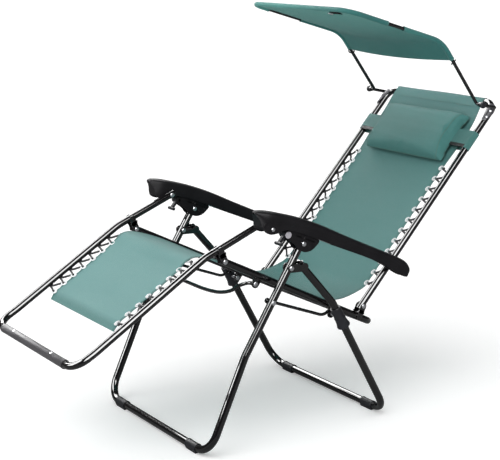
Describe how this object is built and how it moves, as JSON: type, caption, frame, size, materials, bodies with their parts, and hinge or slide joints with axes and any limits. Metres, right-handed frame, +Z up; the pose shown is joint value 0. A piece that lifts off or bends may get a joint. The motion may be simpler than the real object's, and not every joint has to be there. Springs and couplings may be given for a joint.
{
  "type": "sun lounger with canopy",
  "caption": "Folding reclining lounger: bent steel tube frames, laced cloth sling, moulded arms with slide locks, head pillow and a tilting cloth canopy on the back.",
  "frame": {"origin": "centre of the outline at the floor, under the seat", "axes": "+X from the foot end to the head end, +Y across towards the sitter's right, +Z up"},
  "size_m": [1.443, 0.634, 1.1921],
  "materials": {
    "gloss_black": "glossy black powder coat on steel tube",
    "zinc_steel": "zinc-plated steel rivets, pins and rails",
    "moulded_black": "satin black moulded plastic",
    "grey_plastic": "grey moulded plastic levers and knobs",
    "sling_cloth": "teal woven polyester cloth",
    "lacing_cord": "black elastic cord"
  },
  "bodies": {
    "front_legs": {"front_leg_frame": "gloss_black", "front_foot_cap_left": "moulded_black", "front_foot_cap_right": "moulded_black", "leg_hinge_rivet_left": "zinc_steel", "leg_hinge_rivet_right": "zinc_steel"},
    "rear_legs": {"rear_leg_frame": "gloss_black", "rear_foot_cap_left": "moulded_black", "rear_foot_cap_right": "moulded_black", "rear_leg_bracket_left": "gloss_black", "rear_leg_bracket_right": "gloss_black"},
    "leg_slides": {"leg_slide_left": "moulded_black", "leg_slide_right": "moulded_black"},
    "seat_pins": {"seat_pin_left": "zinc_steel", "seat_pin_right": "zinc_steel"},
    "seat": {"seat_frame": "gloss_black", "seat_bow_rod": "gloss_black", "sling_seat": "sling_cloth", "back_bracket_left": "gloss_black", "back_bracket_right": "gloss_black"},
    "back_rivets": {"back_rivet_left": "zinc_steel", "back_rivet_right": "zinc_steel"},
    "back": {"back_frame": "gloss_black", "sling_back": "sling_cloth", "head_pillow": "sling_cloth", "pillow_strap": "sling_cloth", "canopy_bracket_left": "moulded_black", "canopy_bracket_right": "moulded_black", "back_lacing_left": "lacing_cord", "back_lacing_right": "lacing_cord"},
    "arm_rear_bolts": {"arm_rear_bolt_left": "zinc_steel", "arm_rear_bolt_right": "zinc_steel"},
    "arms": {"armrest_left": "moulded_black", "armrest_right": "moulded_black", "arm_rail_left": "zinc_steel", "arm_rail_right": "zinc_steel", "arm_front_bolt_left": "zinc_steel", "arm_front_bolt_right": "zinc_steel"},
    "knee_rivets": {"knee_rivet_left": "zinc_steel", "knee_rivet_right": "zinc_steel"},
    "footrest": {"footrest_frame": "gloss_black", "foot_bar_cover": "moulded_black", "sling_foot": "sling_cloth", "knee_bracket_left": "gloss_black", "knee_bracket_right": "gloss_black", "foot_lacing_left": "lacing_cord", "foot_lacing_right": "lacing_cord"},
    "link_rods": {"link_rod_left": "gloss_black", "link_rod_right": "gloss_black"},
    "lock_rivets": {"lock_rivet_left": "zinc_steel", "lock_rivet_right": "zinc_steel"},
    "lock_housings": {"lock_housing_left": "moulded_black", "lock_housing_right": "moulded_black"},
    "lock_lever_left": {"lock_lever_left": "grey_plastic"},
    "lock_lever_right": {"lock_lever_right": "grey_plastic"},
    "canopy": {"canopy_frame": "gloss_black", "canopy_cloth": "sling_cloth"},
    "canopy_knob_left": {"canopy_knob_left": "grey_plastic"},
    "canopy_knob_right": {"canopy_knob_right": "grey_plastic"}
  },
  "joints": [
    {"name": "fold", "type": "hinge", "parent": "front_legs", "child": "rear_legs", "pos_m": [-0.07634, 0, 0.498], "axis": [0, 1, 0], "range_deg": [0, 58]},
    {"name": "slide_travel", "type": "slide", "parent": "rear_legs", "child": "leg_slides", "axis": [0.4802, 0, -0.8772], "range_m": [0, 0.1123]},
    {"name": "seat_fold", "type": "hinge", "parent": "leg_slides", "child": "seat_pins", "pos_m": [0.09855, 0, 0.32788], "axis": [0, 1, 0], "range_deg": [0, 22]},
    {"name": "seat_tilt", "type": "hinge", "parent": "seat_pins", "child": "seat", "pos_m": [0.09855, 0, 0.32788], "axis": [0, -1, 0], "range_deg": [-9.6, 3.2]},
    {"name": "back_fold", "type": "hinge", "parent": "seat", "child": "back_rivets", "pos_m": [0.20766, 0, 0.336], "axis": [0, -1, 0], "range_deg": [0, 88]},
    {"name": "recline", "type": "hinge", "parent": "back_rivets", "child": "back", "pos_m": [0.20766, 0, 0.336], "axis": [0, -1, 0], "range_deg": [-24, 8]},
    {"name": "arm_fold", "type": "hinge", "parent": "back", "child": "arm_rear_bolts", "pos_m": [0.33266, 0, 0.425], "axis": [0, 1, 0], "range_deg": [0, 88]},
    {"name": "arm_swing", "type": "hinge", "parent": "arm_rear_bolts", "child": "arms", "pos_m": [0.33266, 0, 0.425], "axis": [0, 1, 0], "range_deg": [-24, 8]},
    {"name": "footrest_fold", "type": "hinge", "parent": "seat", "child": "knee_rivets", "pos_m": [-0.26134, 0, 0.533], "axis": [0, -1, 0], "range_deg": [0, 88], "deforming": ["sling_seat"]},
    {"name": "footrest_swing", "type": "hinge", "parent": "knee_rivets", "child": "footrest", "pos_m": [-0.26134, 0, 0.533], "axis": [0, -1, 0], "range_deg": [-24, 8]},
    {"name": "link_swing", "type": "hinge", "parent": "front_legs", "child": "link_rods", "pos_m": [-0.13322, 0, 0.40856], "axis": [0, 1, 0], "range_deg": [0, 84.77]},
    {"name": "lock_fold", "type": "hinge", "parent": "front_legs", "child": "lock_rivets", "pos_m": [-0.03609, 0, 0.56129], "axis": [0, 1, 0], "range_deg": [0, 80]},
    {"name": "lock_tilt", "type": "hinge", "parent": "lock_rivets", "child": "lock_housings", "pos_m": [-0.03609, 0, 0.56129], "axis": [0, -1, 0], "range_deg": [-9.6, 3.2]},
    {"name": "canopy_tilt", "type": "hinge", "parent": "back", "child": "canopy", "pos_m": [0.63667, 0, 0.88799], "axis": [0, -1, 0], "range_deg": [-100, 20]},
    {"name": "canopy_knob_left_turn", "type": "hinge", "parent": "back", "child": "canopy_knob_left", "pos_m": [0.63667, 0, 0.88799], "axis": [0, 1, 0], "range_deg": [0, 180]},
    {"name": "canopy_knob_right_turn", "type": "hinge", "parent": "back", "child": "canopy_knob_right", "pos_m": [0.63667, 0, 0.88799], "axis": [0, 1, 0], "range_deg": [0, 180]},
    {"name": "lock_lever_left_turn", "type": "hinge", "parent": "lock_housings", "child": "lock_lever_left", "pos_m": [-0.08971, 0, 0.59374], "axis": [0, 1, 0], "range_deg": [0, 30]},
    {"name": "lock_lever_right_turn", "type": "hinge", "parent": "lock_housings", "child": "lock_lever_right", "pos_m": [-0.08971, 0, 0.59374], "axis": [0, 1, 0], "range_deg": [0, 30]}
  ],
  "couplings": [
    {"joint": "slide_travel", "follows": "fold", "m_per_rad": 0.11094},
    {"joint": "seat_fold", "follows": "fold", "ratio": 0.37931},
    {"joint": "back_fold", "follows": "fold", "ratio": 1.5172},
    {"joint": "arm_fold", "follows": "fold", "ratio": 1.5172},
    {"joint": "footrest_fold", "follows": "fold", "ratio": 1.5172},
    {"joint": "link_swing", "follows": "fold", "ratio": 1.4616},
    {"joint": "lock_fold", "follows": "fold", "ratio": 1.3793},
    {"joint": "seat_tilt", "follows": "recline", "ratio": 0.4},
    {"joint": "arm_swing", "follows": "recline", "ratio": 1},
    {"joint": "footrest_swing", "follows": "recline", "ratio": 1},
    {"joint": "lock_tilt", "follows": "recline", "ratio": 0.4}
  ]
}
